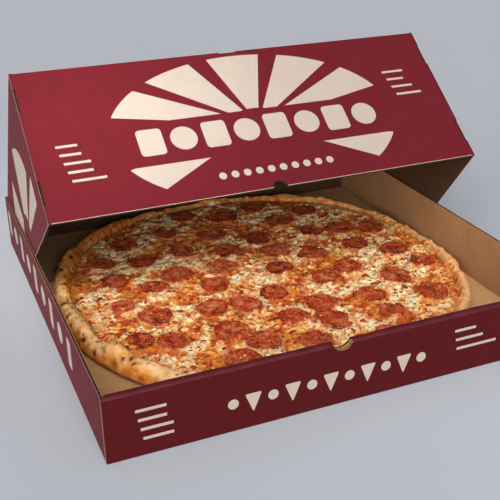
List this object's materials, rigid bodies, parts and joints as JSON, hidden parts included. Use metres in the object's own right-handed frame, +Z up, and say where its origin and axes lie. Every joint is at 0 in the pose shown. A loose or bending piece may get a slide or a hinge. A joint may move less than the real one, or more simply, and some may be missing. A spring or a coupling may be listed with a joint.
{
  "type": "pizza in takeaway box",
  "caption": "Whole round pepperoni pizza with a raised crust lying in an open square corrugated takeaway box; the creased lid stands over the back as a hood with side flaps.",
  "frame": {"origin": "middle of the footprint, on the surface the tray stands on", "axes": "+Z up, -Y towards the rolled front wall with the thumb notch, +Y towards the lid's rear fold, +X to the right seen from the front"},
  "size_m": [0.5336, 0.53, 0.281],
  "materials": {
    "printed_board": "satin",
    "kraft_board": "matte",
    "cream_print": "satin",
    "crust": "matte",
    "cheese": "satin",
    "pepperoni": "satin",
    "herbs": "matte"
  },
  "bodies": {
    "tray": {"tray_floor": "kraft_board", "tray_front_wall": "printed_board", "tray_left_wall": "printed_board", "tray_right_wall": "printed_board", "tray_rear_wall": "printed_board", "pizza_crust": "crust", "pizza_cheese": "cheese", "pepperoni_01": "pepperoni", "pepperoni_02": "pepperoni", "pepperoni_03": "pepperoni", "pepperoni_04": "pepperoni", "pepperoni_05": "pepperoni", "pepperoni_06": "pepperoni", "pepperoni_07": "pepperoni", "pepperoni_08": "pepperoni", "pepperoni_09": "pepperoni", "pepperoni_10": "pepperoni", "pepperoni_11": "pepperoni", "pepperoni_12": "pepperoni", "pepperoni_13": "pepperoni", "pepperoni_14": "pepperoni", "pepperoni_15": "pepperoni", "pepperoni_16": "pepperoni", "pepperoni_17": "pepperoni", "pepperoni_18": "pepperoni", "pepperoni_19": "pepperoni", "pepperoni_20": "pepperoni", "pepperoni_21": "pepperoni", "pepperoni_22": "pepperoni", "pepperoni_23": "pepperoni", "pepperoni_24": "pepperoni", "pepperoni_25": "pepperoni", "pepperoni_26": "pepperoni", "pepperoni_27": "pepperoni", "pepperoni_28": "pepperoni", "pepperoni_29": "pepperoni", "pepperoni_30": "pepperoni", "pepperoni_31": "pepperoni", "pepperoni_32": "pepperoni", "pepperoni_33": "pepperoni", "pepperoni_34": "pepperoni", "pepperoni_35": "pepperoni", "pepperoni_36": "pepperoni", "pepperoni_37": "pepperoni", "pepperoni_38": "pepperoni", "pepperoni_39": "pepperoni", "pepperoni_40": "pepperoni", "pepperoni_41": "pepperoni", "pepperoni_42": "pepperoni", "pepperoni_43": "pepperoni", "pepperoni_44": "pepperoni", "pepperoni_45": "pepperoni", "pepperoni_46": "pepperoni", "pepperoni_47": "pepperoni", "pepperoni_48": "pepperoni"},
    "lid_rear": {"lid_rear_panel": "printed_board"},
    "lid_front": {"lid_top_panel": "printed_board", "lid_left_flap": "printed_board", "lid_right_flap": "printed_board"}
  },
  "joints": [
    {"name": "lid_hinge", "type": "hinge", "parent": "tray", "child": "lid_rear", "pos_m": [0, 0.265, 0.072], "axis": [-1, 0, 0], "range_deg": [0, 120]},
    {"name": "lid_crease", "type": "hinge", "parent": "lid_rear", "child": "lid_front", "pos_m": [0, 0.098, 0.281], "axis": [-1, 0, 0], "range_deg": [0, 88]}
  ]
}
